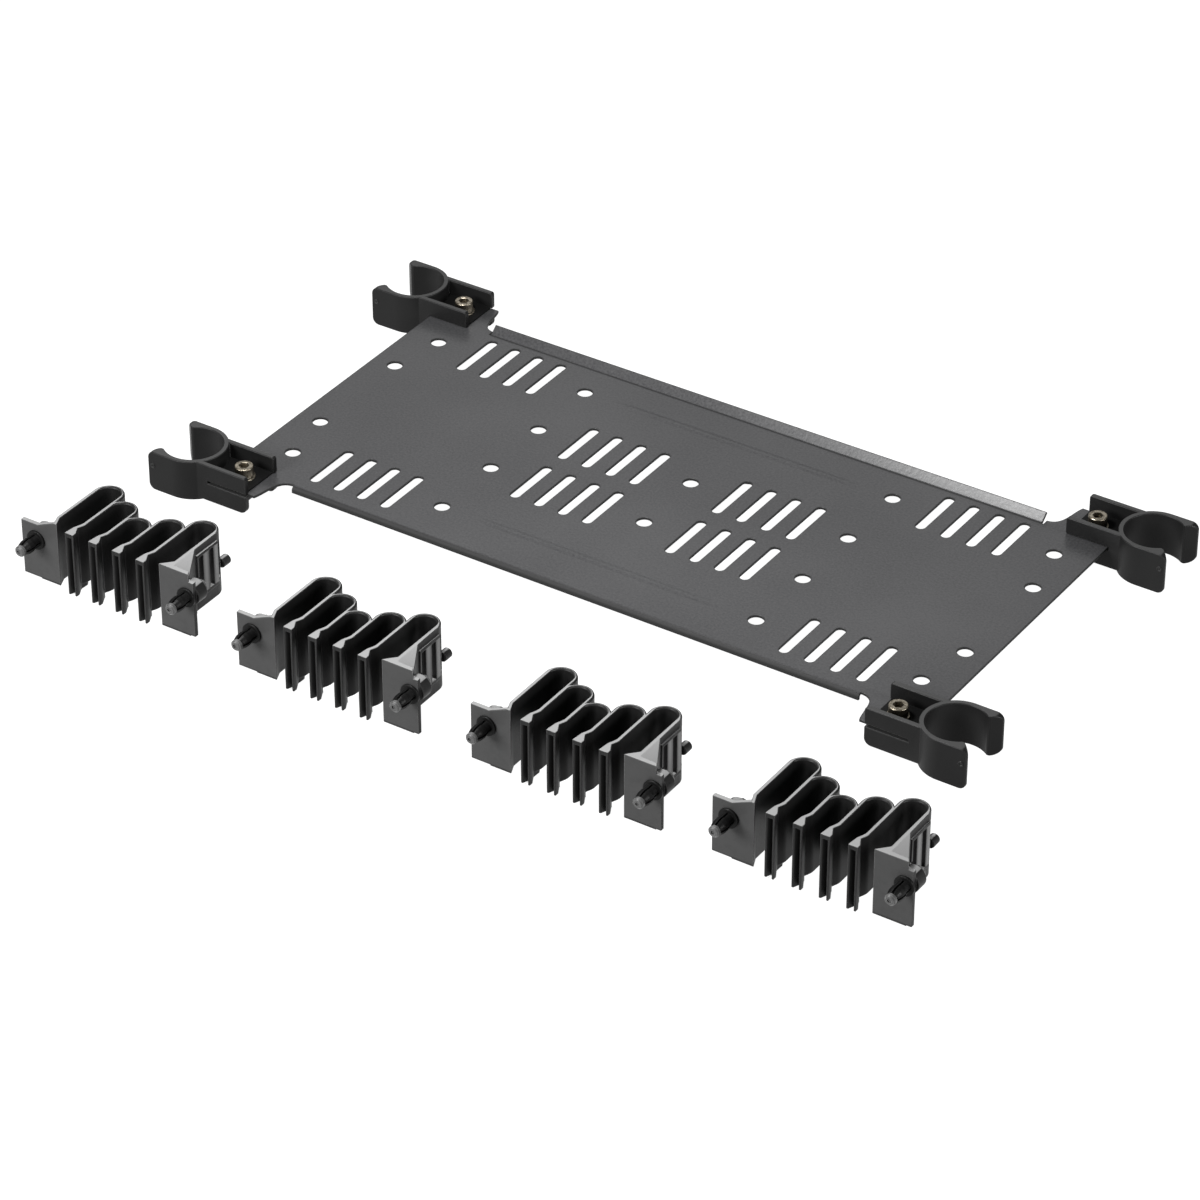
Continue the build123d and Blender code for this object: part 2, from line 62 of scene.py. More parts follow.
class Signal:  # wraps a socket, so that arithmetic on it adds Math nodes
    def __init__(self, recipe, socket):
        self.recipe = recipe
        self.socket = socket

    def join(self, operation, first, second=0.0, clamp=False):
        settings = {"operation": operation, "use_clamp": clamp}
        made = self.recipe.node("ShaderNodeMath", settings, {0: first, 1: second})
        return Signal(self.recipe, made.outputs[0])

    def __add__(self, other):
        return self.join("ADD", self, other)

    def __radd__(self, other):
        return self.join("ADD", other, self)

    def __sub__(self, other):
        return self.join("SUBTRACT", self, other)

    def __rsub__(self, other):
        return self.join("SUBTRACT", other, self)

    def __mul__(self, other):
        return self.join("MULTIPLY", self, other)

    def __rmul__(self, other):
        return self.join("MULTIPLY", other, self)

    def __truediv__(self, other):
        return self.join("DIVIDE", self, other)

    def __pow__(self, power):
        return self.join("POWER", self, power)

    def __abs__(self):
        return self.join("ABSOLUTE", self)

    def sine(self):
        return self.join("SINE", self)

    def cosine(self):
        return self.join("COSINE", self)

    def held(self):  # kept between 0 and 1
        return self.join("ADD", self, 0.0, clamp=True)

    def within(self, low, high):  # 1 between two lengths in metres, with soft steps of a tenth of a millimetre
        stepsPerMetre = 10000.0
        return ((self - low) * stepsPerMetre).held() * ((high - self) * stepsPerMetre).held()


class Recipe:  # one material's node tree
    def __init__(self, name):
        self.material = bpy.data.materials.new(name)
        self.material.use_nodes = True
        self.tree = self.material.node_tree
        self.tree.nodes.clear()
        self.place = self.node("ShaderNodeTexCoord").outputs["Object"]
        self.normal = self.node("ShaderNodeNewGeometry").outputs["True Normal"]

    def node(self, kind, settings=None, values=None):
        made = self.tree.nodes.new(kind)
        for setting, value in (settings or {}).items():
            if setting == "stops":
                self.fillRamp(made.color_ramp, value)
            else:
                setattr(made, setting, value)
        for key, value in (values or {}).items():
            if isinstance(value, Signal):
                value = value.socket
            if isinstance(value, bpy.types.NodeSocket):
                self.tree.links.new(value, made.inputs[key])
            else:
                made.inputs[key].default_value = value
        return made

    def fillRamp(self, ramp, stops):
        while len(ramp.elements) < len(stops):
            ramp.elements.new(1.0)
        for element, (position, shade) in zip(ramp.elements, stops):
            element.position = position
            element.color = (shade, shade, shade, 1.0)

    def noise(self, perMetre, detail=2.0, roughness=0.5, stretch=None):
        where = self.place
        if stretch:
            where = self.node("ShaderNodeMapping", values={"Vector": self.place, "Scale": stretch}).outputs[0]
        made = self.node("ShaderNodeTexNoise", values={
            "Vector": where, "Scale": perMetre, "Detail": detail, "Roughness": roughness})
        return Signal(self, made.outputs[0])

    def parts(self, vector):
        made = self.node("ShaderNodeSeparateXYZ", values={0: vector})
        return [Signal(self, socket) for socket in made.outputs]

    def ramp(self, signal, low, high):  # 0 up to the low value, 1 from the high value on
        made = self.node("ShaderNodeValToRGB", {"stops": [(low, 0.0), (high, 1.0)]}, {0: signal})
        return Signal(self, made.outputs[0])

    def edges(self, radius, sharpness):
        # near 1 along edges and 0 on flats: how far a rounded normal leans from the true one
        rounded = self.node("ShaderNodeBevel", {"samples": 4}, {"Radius": radius}).outputs[0]
        true = self.node("ShaderNodeNewGeometry").outputs["Normal"]
        lean = self.node("ShaderNodeVectorMath", {"operation": "DOT_PRODUCT"}, {0: rounded, 1: true})
        return ((1.0 - Signal(self, lean.outputs["Value"])) * sharpness).held()

    def tint(self, mask, low, high):  # the low colour where the mask is 0, the high one where it is 1
        low, high = (tone if isinstance(tone, bpy.types.NodeSocket) else (*tone, 1.0) for tone in (low, high))
        made = self.node("ShaderNodeMix", {"data_type": "RGBA"}, {0: mask, 6: low, 7: high})
        return made.outputs[2]

    def bumps(self, height, distance, strength=1.0):
        values = {"Height": height, "Distance": distance, "Strength": strength}
        return self.node("ShaderNodeBump", values=values).outputs[0]

    def finish(self, values):
        surface = self.node("ShaderNodeBsdfPrincipled", values=values)
        self.node("ShaderNodeOutputMaterial", values={"Surface": surface.outputs[0]})
        return self.material


# Satin paint with a fine grain, with painted shade on its side faces, along its edges and in its two bends
paint = {
    "dark": (0.019, 0.019, 0.020),
    "light": (0.036, 0.036, 0.037),
    # the colour of the painted shade: faces that don't face up, edges and the two bends
    "edge": (0.006, 0.006, 0.006),
    "roughness": 0.33,
    "specular": 0.22,
    "grainPerMetre": 800,
    "grainShare": 0.65,  # of the tone: the clouds give the rest
    "grainHeight": 0.00005,
    "peelPerMetre": 420,
    "cloudPerMetre": 9.0,
    "edgeRadius": 0.0010,
    "edgeSharpness": 9.0,
    "edgeShade": 0.85,
    "bendEndX": 0.1725,
    "rearBendY": 0.0892,
    "rearBendHalfWidth": 0.0011,
    "rearBendShade": 0.8,
    "frontBendY": -0.0934,
    "frontBendPerMetre": 1500.0,
    "frontBendShade": 0.9,
}


def sheetPaint():
    r = Recipe("satinSheetPaint")
    grain = r.noise(paint["grainPerMetre"], detail=3.0, roughness=0.65)
    peel = r.noise(paint["peelPerMetre"], detail=1.0)
    cloud = r.noise(paint["cloudPerMetre"], detail=3.0)
    tone = r.ramp((cloud * (1 - paint["grainShare"]) + grain * paint["grainShare"]).held(), 0.38, 0.62)
    # painted shade: faces that don't face up, such as cut edges, hole walls and the front flange, take the dark
    # colour below
    upward = r.ramp(r.parts(r.normal)[2], 0.35, 0.65)
    x, y, _ = r.parts(r.place)
    folded = x.within(-paint["bendEndX"], paint["bendEndX"])
    # painted shade in the crease of the rear bend
    rearBend = (1.0 - abs(y - paint["rearBendY"]) / paint["rearBendHalfWidth"]).held() * folded
    # painted shade on the rounded front bend
    frontBend = ((paint["frontBendY"] - y) * paint["frontBendPerMetre"]).held() * folded
    # painted shade along every edge of the sheet, concave and convex, from the bevel's lean
    edge = r.edges(paint["edgeRadius"], paint["edgeSharpness"])
    # lit is 1 on unshaded upward faces and falls towards 0 where painted shade lies
    lit = upward * (1.0 - edge * paint["edgeShade"])
    lit = lit * (1.0 - rearBend * paint["rearBendShade"]) * (1.0 - frontBend * paint["frontBendShade"])
    base = r.tint(lit, paint["edge"], r.tint(tone, paint["dark"], paint["light"]))
    rough = paint["roughness"] + (grain - 0.5) * 0.14 + (cloud - 0.5) * 0.08 + (1.0 - lit) * 0.35
    normal = r.bumps(grain * 0.6 + peel, paint["grainHeight"])
    return r.finish({
        "Base Color": base, "Roughness": rough, "Normal": normal, "Specular IOR Level": paint["specular"]})


# Black mouldings with a fine spark-eroded texture: a painted highlight on their upward faces, and a lighter
# tone along their edges that is in part edge wear and in part a painted highlight
moulding = {
    "sparkPerMetre": 2600,
    "sparkHeight": 0.00003,
    "flowPerMetre": 60.0,
    "flowStretch": (1.0, 1.0, 0.35),
    "blotchesPerMetre": 260.0,
    "edgeRadius": 0.0005,
    "edgeSharpness": 4.0,
    # per piece: a body tone; a painted highlight on upward faces; an edge tone, in part edge wear and in part a
    # painted highlight
    "clamp": {"body": 0.006, "topHighlight": 0.030, "edge": 0.070, "roughness": 0.42, "specular": 0.10},
    "comb": {"body": 0.007, "topHighlight": 0.170, "edge": 0.120, "roughness": 0.42, "specular": 0.12},
    "rivet": {"body": 0.004, "topHighlight": 0.005, "edge": 0.010, "roughness": 0.40, "specular": 0.08},
    "rivet_pin": {"body": 0.040, "topHighlight": 0.060, "edge": 0.150, "roughness": 0.34, "specular": 0.40},
    # the near-black plate over the ears inside the clamps: painted shade
    "deck": {"body": 0.003, "topHighlight": 0.004, "edge": 0.006, "roughness": 0.50, "specular": 0.05},
}


def grey(tone):
    return (tone, tone, tone)


def blackMoulding(piece, marks=None):
    # the optional pairs of a mask and a tone of painted highlight lie over the body's tone
    tones = moulding[piece]
    r = Recipe(piece + "Moulding")
    spark = r.noise(moulding["sparkPerMetre"], detail=2.0, roughness=0.6)
    flow = r.noise(moulding["flowPerMetre"], detail=2.0, stretch=moulding["flowStretch"])
    blotches = r.noise(moulding["blotchesPerMetre"], detail=3.0)
    # painted highlight on the upward faces
    topHighlight = r.ramp(r.parts(r.normal)[2], 0.93, 0.985) * (0.75 + flow * 0.5)
    # lighter along edges, in part edge wear and in part a painted highlight, made patchy by a noise
    edge = r.edges(moulding["edgeRadius"], moulding["edgeSharpness"]) * (0.6 + blotches * 0.8)
    base = r.tint(flow, grey(tones["body"] * 0.7), grey(tones["body"] * 1.3))
    for mask, tone in marks(r, blotches) if marks else ():
        base = r.tint(mask.held(), base, grey(tone))
    base = r.tint(topHighlight.held(), base, grey(tones["topHighlight"]))
    base = r.tint(edge.held(), base, grey(tones["edge"]))
    rough = tones["roughness"] + (spark - 0.5) * 0.16 + (flow - 0.5) * 0.12
    normal = r.bumps(spark, moulding["sparkHeight"])
    return r.finish({
        "Base Color": base, "Roughness": rough, "Normal": normal, "Specular IOR Level": tones["specular"]})


# Painted highlights of a comb, on its tab fronts, its sloping cap and the bars between its windows. Each pair
# of lengths, from the comb's own place, is where one starts and ends
combPlaces = {
    "tab": 0.036,
    "tabY": (0.0030, 0.0045),
    "tabFootZ": -0.0132,
    "tabFadePerMetre": 700.0,
    "cap": 0.165,
    "capY": (0.0, 0.0246),
    "bars": 0.110,
    "barX": (0.036, 0.045),
    "barY": (0.0246, 0.043),
    "barZ": (-0.0045, 0.0185),
    "barMiddleY": 0.0312,
    "barPitch": 0.0086,
}


def combHighlights(combX, combY):
    # painted highlights on one comb's tab fronts, fading out towards their foot, on its sloping cap, and on the
    # bars between its windows by a cosine of their pitch
    def marks(r, blotches):
        across, along, z = r.parts(r.place)
        x, y = across - combX, along - combY
        faceX, faceY, faceZ = r.parts(r.normal)
        foot = ((z - combPlaces["tabFootZ"]) * combPlaces["tabFadePerMetre"]).held()
        tab = r.ramp(0.0 - faceY, 0.80, 0.96) * y.within(*combPlaces["tabY"]) * foot
        cap = r.ramp(faceZ, 0.85, 0.90) * y.within(*combPlaces["capY"])
        turn = (y - combPlaces["barMiddleY"]) * (2 * math.pi / combPlaces["barPitch"])
        middle = (turn.cosine() * 0.5 + 0.5) ** 1.5
        bars = r.ramp(faceX, 0.80, 0.95) * y.within(*combPlaces["barY"])
        bars = bars * x.within(*combPlaces["barX"]) * z.within(*combPlaces["barZ"]) * middle
        # the tab fronts' painted highlight, made patchy by a noise
        tabHighlight = tab * (0.7 + blotches * 0.6)
        return [(tabHighlight, combPlaces["tab"]), (cap, combPlaces["cap"]), (bars, combPlaces["bars"])]
    return marks


# Yellowish zinc plating with turning marks and dull stains
plating = {
    "base": (0.25, 0.225, 0.18),
    "stain": (0.09, 0.075, 0.055),
    "stainPerMetre": 700.0,
    "roughness": 0.36,
    "ringGap": 0.00035,
    "ringHeight": 0.000012,
    "ringStrength": 0.5,
}


def platedSteel(middleX, middleY):
    r = Recipe("platedScrewSteel")
    x, y, _ = r.parts(r.place)
    dx = abs(x) - middleX  # the four screws are mirror images, so one finish serves all
    dy = abs(y) - middleY
    radius = (dx * dx + dy * dy) ** 0.5
    rings = (radius * (2 * math.pi / plating["ringGap"])).sine()
    stains = r.noise(plating["stainPerMetre"], detail=3.0)
    base = r.tint(r.ramp(stains, 0.42, 0.68), plating["base"], plating["stain"])
    rough = plating["roughness"] + (stains - 0.5) * 0.3
    normal = r.bumps(rings, plating["ringHeight"], plating["ringStrength"])
    return r.finish({"Base Color": base, "Roughness": rough, "Normal": normal, "Metallic": 1.0})


screwLow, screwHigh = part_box("clamp_screw_rear_right")
screwX, screwY = (abs(float(screwLow[k] + screwHigh[k])) / 2 for k in (0, 1))
finishes = {
    "sheet": sheetPaint(),
    **{piece: blackMoulding(piece) for piece in ("clamp", "rivet", "rivet_pin", "deck")},
    "screw": platedSteel(screwX, screwY),
}
print("finishes made:", len(finishes))


def arc(radius, fromDegrees, toDegrees, count):
    # points of a circular arc about zero: radius times cosine and sine
    angle = np.radians(np.linspace(fromDegrees, toDegrees, count))
    return np.stack([radius * np.cos(angle), radius * np.sin(angle)], axis=1)


def fullTurn(count):
    return np.linspace(0, 2 * math.pi, count, endpoint=False)[None, :]


def capped(lattice):
    # the lattice with one more row at each end, shrunk to the end row's middle, which closes it
    ends = [np.broadcast_to(lattice[k].mean(axis=0), lattice[:1].shape) for k in (0, -1)]
    return np.concatenate([ends[0], lattice, ends[1]])


def shell(lattice, rowsClosed=False):
    # quad (i, j) joins rows i and i+1 and columns j and j+1: the last column meets the first, and the last
    # row meets the first too where rows are closed
    rows, columns = lattice.shape[:2]
    i, j = np.meshgrid(np.arange(rows if rowsClosed else rows - 1), np.arange(columns), indexing="ij")
    below, right = (i + 1) % rows, (j + 1) % columns
    quads = [i * columns + j, i * columns + right, below * columns + right, below * columns + j]
    return lattice.reshape(-1, 3), np.stack(quads, axis=-1).reshape(-1, 4)


def addPiece(name, shells, slot, stands=(), finish=None):
    # each shell, a pair of points and faces, is a closed surface of the one mesh
    points, faces, start = [], [], 0
    for shellPoints, quads in shells:
        points.append(shellPoints)
        faces.append(quads + start)
        start += len(shellPoints)
    mesh = bpy.data.meshes.new(name)
    mesh.from_pydata(np.concatenate(points).tolist(), [], np.concatenate(faces).tolist())
    shape = bmesh.new()
    shape.from_mesh(mesh)
    bmesh.ops.remove_doubles(shape, verts=shape.verts, dist=1e-7)  # closes the poles
    bmesh.ops.recalc_face_normals(shape, faces=shape.faces)
    shape.to_mesh(mesh)
    shape.free()
    return showPiece(name, mesh, stands, 35.0, finish or finishes[slot])


def showPiece(name, mesh, stands, sharpDegrees, finish):
    mesh.materials.clear()
    mesh.materials.append(finish)
    mesh.shade_smooth()
    mesh.set_sharp_from_angle(angle=math.radians(sharpDegrees))
    piece = bpy.data.objects.new(name, mesh)
    bpy.context.scene.collection.objects.link(piece)
    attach(piece, "root")
    if stands:
        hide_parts(*stands)
    return piece


# Widths of the rounded edges, and what counts as an edge
softEdges = {
    "sheet": 0.00025,
    "clamp": 0.0004,
    "comb": 0.0009,
    "combShare": 0.33,  # of that width, everywhere but on the round ends' rims
    "segments": 2,
    "sharpDegrees": 30.0,
    "flatDegrees": 0.5,
    "mergeWithin": 2e-6,
}


def softened(nodeName, pieceName, slot, share=None, finish=None, trim=None):
    # a merged copy of a CAD node whose edges are rounded by a bevel: share gives the part of the width that
    # an edge at a point gets, and trim changes the copy first
    sharp = softEdges["sharpDegrees"]
    shape = bmesh.new()
    shape.from_mesh(nodes[nodeName].data)
    bmesh.ops.remove_doubles(shape, verts=shape.verts, dist=softEdges["mergeWithin"])
    flat = math.radians(softEdges["flatDegrees"])
    bmesh.ops.dissolve_limit(shape, angle_limit=flat, verts=shape.verts, edges=shape.edges)
    if trim:
        trim(shape)
    weight = shape.edges.layers.float.new("bevel_weight_edge")
    for edge in shape.edges:
        if edge.calc_face_angle(0.0) > math.radians(sharp):
            edge[weight] = share((edge.verts[0].co + edge.verts[1].co) / 2) if share else 1.0
    mesh = bpy.data.meshes.new(pieceName)
    shape.to_mesh(mesh)
    shape.free()
    piece = showPiece(pieceName, mesh, [nodeName], sharp, finish or finishes[slot])
    rounding = piece.modifiers.new("edgeRounding", "BEVEL")
    rounding.width = softEdges[slot]
    rounding.segments = softEdges["segments"]
    rounding.limit_method = "WEIGHT"
    rounding.use_clamp_overlap = False


# Where a comb's round ends start, for the change from its thin edges to their rounded rims
combForm = {
    "pinReach": 0.011,  # from the front of its pins back to its own place
    "top": 0.024,
    "pitch": 0.015,
    "depth": 0.0495,
    "depthStep": 0.0082,
    "endRadius": 0.0085,
    "blend": 0.004,
}


def combRounding(combX, combY):
    # full width on the rims past the start of a round end, and the small share before it: the change is linear
    def share(point):
        channel = min(2, abs(round((point.x - combX) / combForm["pitch"])))
        straightEnd = combY + combForm["depth"] - (2 - channel) * combForm["depthStep"] - combForm["endRadius"]
        over = min(1.0, max(0.0, (point.y - straightEnd) / combForm["blend"]))
        rim = 1.0 if point.z > combForm["top"] - 0.0001 else 0.0
        return softEdges["combShare"] + (1.0 - softEdges["combShare"]) * over * rim
    return share


ear = {"clearX": 0.1880, "heldX": 0.1895, "edgeY": 0.1125, "heldY": 0.1110}


def trimEars(shape):  # inside a clamp the ear's edge lies deeper in the slit than outside it
    for side in (-1, 1):
        for x in (ear["clearX"], ear["heldX"]):
            geometry = list(shape.verts) + list(shape.edges) + list(shape.faces)
            cut = {"dist": 1e-7, "plane_co": (side * x, 0, 0), "plane_no": (1, 0, 0)}
            bmesh.ops.bisect_plane(shape, geom=geometry, **cut)
    for vertex in shape.verts:
        if abs(vertex.co.x) > ear["heldX"] - 1e-5 and abs(vertex.co.y) > ear["edgeY"]:
            vertex.co.y = math.copysign(ear["heldY"], vertex.co.y)


softened("shelf_sheet", "foldedSheet", "sheet", trim=trimEars)
for cornerName in cornerSigns:
    softened("post_clamp_" + cornerName, "postClamp_" + cornerName, "clamp")
for number in range(1, 5):
    leftPin, rightPin = (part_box(f"rivet_pin_{number}_{side}") for side in ("left", "right"))
    combX = float(leftPin[0][0] + rightPin[1][0]) / 2
    combY = float(leftPin[0][1]) + combForm["pinReach"]
    softened(f"cable_comb_{number}", f"cableComb_{number}", "comb",
             combRounding(combX, combY), blackMoulding("comb", combHighlights(combX, combY)))
print("sheet, clamps and combs softened")


# Two shallow stiffening beads pressed into the sheet, in line with its outer rows of holes
bead = {
    "halfLength": 0.078,
    "halfWidth": 0.0032,
    "height": 0.00030,
    "endTaper": 0.15,
    "rowY": 0.0675,
    "skirt": 0.00002,
    "sunk": 0.0006,
    "rows": 81,
    "across": 17,
}


def addBead(name, rowY):
    # height is the crown's times (1 - v^2)^2 across and (1 - u^8) along, and the same outline is carried
    # below the sheet's face
    u = np.linspace(-1, 1, bead["rows"])[:, None]
    v = np.linspace(-1, 1, bead["across"])[None, :]
    crown = bead["height"] * (1 - v**2) ** 2 * (1 - u**8)
    x = bead["halfLength"] * u + 0 * v
    y = rowY + bead["halfWidth"] * v * (1 - bead["endTaper"] * u**8)
    top = np.stack([x, y, crown - bead["skirt"]], axis=2)
    under = np.stack([x, y, 0 * crown - bead["sunk"]], axis=2)[:, ::-1]
    addPiece(name, [shell(capped(np.concatenate([top, under], axis=1)))], "sheet")


addBead("frontBead", -bead["rowY"])
addBead("rearBead", bead["rowY"])
print("beads laid on the sheet")


def hexRadius(angle, flats):
    # from a hexagon's middle to its side: half the flats over the cosine of the angle left to the nearest flat
    return flats / 2 / np.cos((angle + math.pi / 6) % (math.pi / 3) - math.pi / 6)


# Cap screw with a knurled head and a hexagon socket, standing on the Z axis
screw = {
    "headRadius": 0.0050,
    "headTop": 0.0076,
    "headSeat": 0.0016,
    "seatCut": 0.0004,
    "rimRound": 0.0006,
    "knurls": 36,
    "knurlDepth": 0.00022,
    "knurlSpan": (0.0003, 0.0042),
    "socketFlats": 0.0050,
    "socketDepth": 0.0035,
    "socketFlare": 1.06,
    "socketCut": 0.00015,
    "coneDepth": 0.0004,
    "shankRadius": 0.0030,
    "threadPitch": 0.0010,
    "threadDepth": 0.00030,
    "threadTop": -0.0020,
    "end": -0.0105,
    "endLength": 0.0008,
    "endCut": 0.0007,
}


def screwLattice():
    # radius is a plain part, a share of the hexagon's and less a share of the knurls' cosine, one of each per
    # row of the head: below it the thread's ridge is a sine of the height less the angle
    turn = fullTurn(4 * screw["knurls"])
    threadZ = np.arange(screw["end"] + screw["endLength"], screw["threadTop"], screw["threadPitch"] / 8)
    ridge = 0.5 + 0.5 * np.sin(2 * math.pi * threadZ[:, None] / screw["threadPitch"] - turn)
    thread = screw["shankRadius"] - screw["threadDepth"] * ridge
    wide = screw["headRadius"]
    rim = wide - screw["rimRound"]
    top, seat = screw["headTop"], screw["headSeat"]
    side = seat + screw["seatCut"]
    floor = top - screw["socketDepth"]
    corner = arc(screw["rimRound"], 0, 90, 6) + [rim, top - screw["rimRound"]]
    # plain radius, hexagon share, knurl share, height
    head = [(screw["shankRadius"], 0, 0, seat), (rim, 0, 0, seat), (wide, 0, 0, side)]
    head += [(wide, 0, 1, side + rise) for rise in screw["knurlSpan"]]
    head += [(float(r), 0, 0, float(z)) for r, z in corner]
    head += [(0, screw["socketFlare"], 0, top), (0, 1, 0, top - screw["socketCut"]), (0, 1, 0, floor)]
    head += [(0, 0.5, 0, floor - screw["coneDepth"] / 2), (0, 0, 0, floor - screw["coneDepth"])]
    plain, hexShare, knurlShare, height = (np.array(part, dtype=float)[:, None] for part in zip(*head))
    knurl = screw["knurlDepth"] * (0.5 - 0.5 * np.cos(screw["knurls"] * turn))
    headRadius = plain + hexShare * hexRadius(turn, screw["socketFlats"]) - knurlShare * knurl
    endRadius = np.array([[0.0], [screw["shankRadius"] - screw["endCut"]]]) + 0 * turn
    radius = np.concatenate([endRadius, thread, screw["shankRadius"] + 0 * turn, headRadius])
    z = np.concatenate([[screw["end"]] * 2, threadZ, [screw["threadTop"]], height[:, 0]])[:, None] + 0 * turn
    return np.stack([radius * np.cos(turn), radius * np.sin(turn), z], axis=2)


def ringLattice(section, columns, shape=None):
    # a section of radius and height carried round the Z axis, each radius held under the shape's at that angle
    turn = fullTurn(columns)
    radius = section[:, :1] + 0 * turn
    if shape is not None:
        radius = np.minimum(radius, shape(turn))
    return np.stack([radius * np.cos(turn), radius * np.sin(turn), section[:, 1:] + 0 * turn], axis=2)


def roundedSection(innerRadius, outerRadius, low, high, corner):
    # a rectangle of radius against height with its four corners rounded by quarter arcs
    inner, outer = innerRadius + corner, outerRadius - corner
    floor, roof = low + corner, high - corner
    middles = {0: (outer, roof), 90: (inner, roof), 180: (inner, floor), 270: (outer, floor)}
    return np.concatenate([arc(corner, start, start + 90, 5) + middle for start, middle in middles.items()])


washer = {"outerRadius": 0.0060, "innerRadius": 0.0033, "thickness": 0.0016, "corner": 0.0003, "columns": 96}
nut = {
    "flats": 0.0100,
    "boreRadius": 0.00302,
    "boreCut": 0.0005,
    "pastCorners": 0.00585,
    "cornerCut": 0.0007,
    "faceCut": 0.0001,
    "high": -0.0045,
    "low": -0.0095,
    "columns": 96,
}


def nutSection():  # radius against height: the bore's and the corners' chamfers on both faces
    wide, bore, low, high = (nut[key] for key in ("pastCorners", "boreRadius", "low", "high"))
    face = nut["flats"] / 2 - nut["faceCut"]
    return np.array([
        (bore, low + nut["boreCut"]), (bore + nut["boreCut"], low), (face, low),
        (wide, low + nut["cornerCut"]), (wide, high - nut["cornerCut"]), (face, high),
        (bore + nut["boreCut"], high), (bore, high - nut["boreCut"])])


for cornerName, (sx, sy) in cornerSigns.items():
    at = np.array([sx * screwX, sy * screwY, 0.0])
    addPiece("capScrew_" + cornerName, [shell(screwLattice() + at)], "screw", ["clamp_screw_" + cornerName])
    section = roundedSection(
        washer["innerRadius"], washer["outerRadius"], 0.0, washer["thickness"], washer["corner"])
    washerShell = shell(ringLattice(section, washer["columns"]) + at, rowsClosed=True)
    addPiece("washer_" + cornerName, [washerShell], "screw", ["clamp_washer_" + cornerName])
    nutLattice = ringLattice(nutSection(), nut["columns"], lambda turn: hexRadius(turn, nut["flats"]))
    nutShell = shell(nutLattice + at, rowsClosed=True)
    addPiece("hexNut_" + cornerName, [nutShell], "screw", ["clamp_nut_" + cornerName])
print("screws, washers and nuts made")


# Push rivet: a collar and four barbed fingers, with a headed pin through them. Depths run from the tab's face
# towards the sheet
rivet = {
    "collarRadius": 0.0055,
    "collarInner": 0.00222,
    "collarDepth": 0.0014,
    "collarRound": 0.0004,
    "collarColumns": 72,
    "fingerInner": 0.00218,
    "fingerDepths": (0.0010, 0.0050, 0.0062, 0.0090, 0.0112, 0.0120),
    "fingerRadii": (0.0036, 0.0036, 0.0040, 0.0039, 0.0033, 0.0029),
    "fingerRows": 30,
    "halfSlit": 0.0006,
    "pinRadius": 0.0020,
    "pinColumns": 96,
    "tipRadius": 0.0030,
    "tipLength": 0.0025,
    "tipCut": 0.0008,
    "dentRadius": 0.0010,
    "dentFloor": 0.0018,
    "smallCut": 0.0002,
    "knobRadius": 0.0040,
    "knobLength": 0.0035,
    "knobCut": 0.0003,
    "knobRound": 0.0012,
    "knobFlutes": 12,
    "fluteDepth": 0.00035,
}


def turnedToFront(lattice, at):  # swaps a piece drawn along +Z to run along -Y from the given point
    return np.stack([lattice[..., 0], -lattice[..., 2], lattice[..., 1]], axis=-1) + at


def fingerLattice(quarter):
    # section: an outer arc and an inner arc, both short of the slits by half a slit's width, carried along the
    # finger's depth
    depth = np.linspace(rivet["fingerDepths"][0], rivet["fingerDepths"][-1], rivet["fingerRows"])
    outer = np.interp(depth, rivet["fingerDepths"], rivet["fingerRadii"])[:, None]
    inner = rivet["fingerInner"]
    eighth = math.pi / 4
    outerTurn = (eighth - np.arcsin(rivet["halfSlit"] / outer)) * np.linspace(-1, 1, 11)[None, :]
    innerTurn = (eighth - math.asin(rivet["halfSlit"] / inner)) * np.linspace(1, -1, 7)[None, :] + 0 * outer
    turn = eighth + quarter * 2 * eighth + np.concatenate([outerTurn, innerTurn], axis=1)
    radius = np.concatenate([outer + 0 * outerTurn, inner + 0 * innerTurn], axis=1)
    return capped(np.stack([radius * np.cos(turn), radius * np.sin(turn), depth[:, None] + 0 * turn], axis=2))


def pinLattice(tipDepth, knobRear):
    # radius against depth, from the pole of the tip to the pole of the knob: a cosine of the angle presses the
    # knob's flutes in
    turn = fullTurn(rivet["pinColumns"])
    stem, tip, knob, edge = (rivet[key] for key in ("pinRadius", "tipRadius", "knobRadius", "knobRound"))
    cut, small, dent = rivet["tipCut"], rivet["smallCut"], rivet["dentRadius"]
    face, dentFloor = tipDepth + rivet["tipLength"], tipDepth + rivet["dentFloor"]
    knobFront = knobRear + rivet["knobLength"]
    dome = arc(edge, 0, 90, 7) * [1, -1] + [knob - edge, knobRear + edge]
    # radius, depth, flute share
    rows = [(0, dentFloor, 0), (dent, dentFloor, 0), (dent + small, face, 0)]
    rows += [(tip - cut, face, 0), (tip, face - cut, 0), (tip, tipDepth + small, 0), (tip - small, tipDepth, 0)]
    rows += [(stem, tipDepth, 0), (stem, knobFront, 0)]
    rows += [(knob - rivet["knobCut"], knobFront, 0), (knob, knobFront - rivet["knobCut"], 1)]
    rows += [(float(r), float(z), 1) for r, z in dome[:4]] + [(float(r), float(z), 0) for r, z in dome[4:]]
    rows += [(0, float(dome[-1, 1]), 0)]
    radius, depth, share = (np.array(part, dtype=float)[:, None] for part in zip(*rows))
    radius = radius - share * rivet["fluteDepth"] * (0.5 - 0.5 * np.cos(rivet["knobFlutes"] * turn))
    return np.stack([radius * np.cos(turn), radius * np.sin(turn), depth + 0 * turn], axis=2)


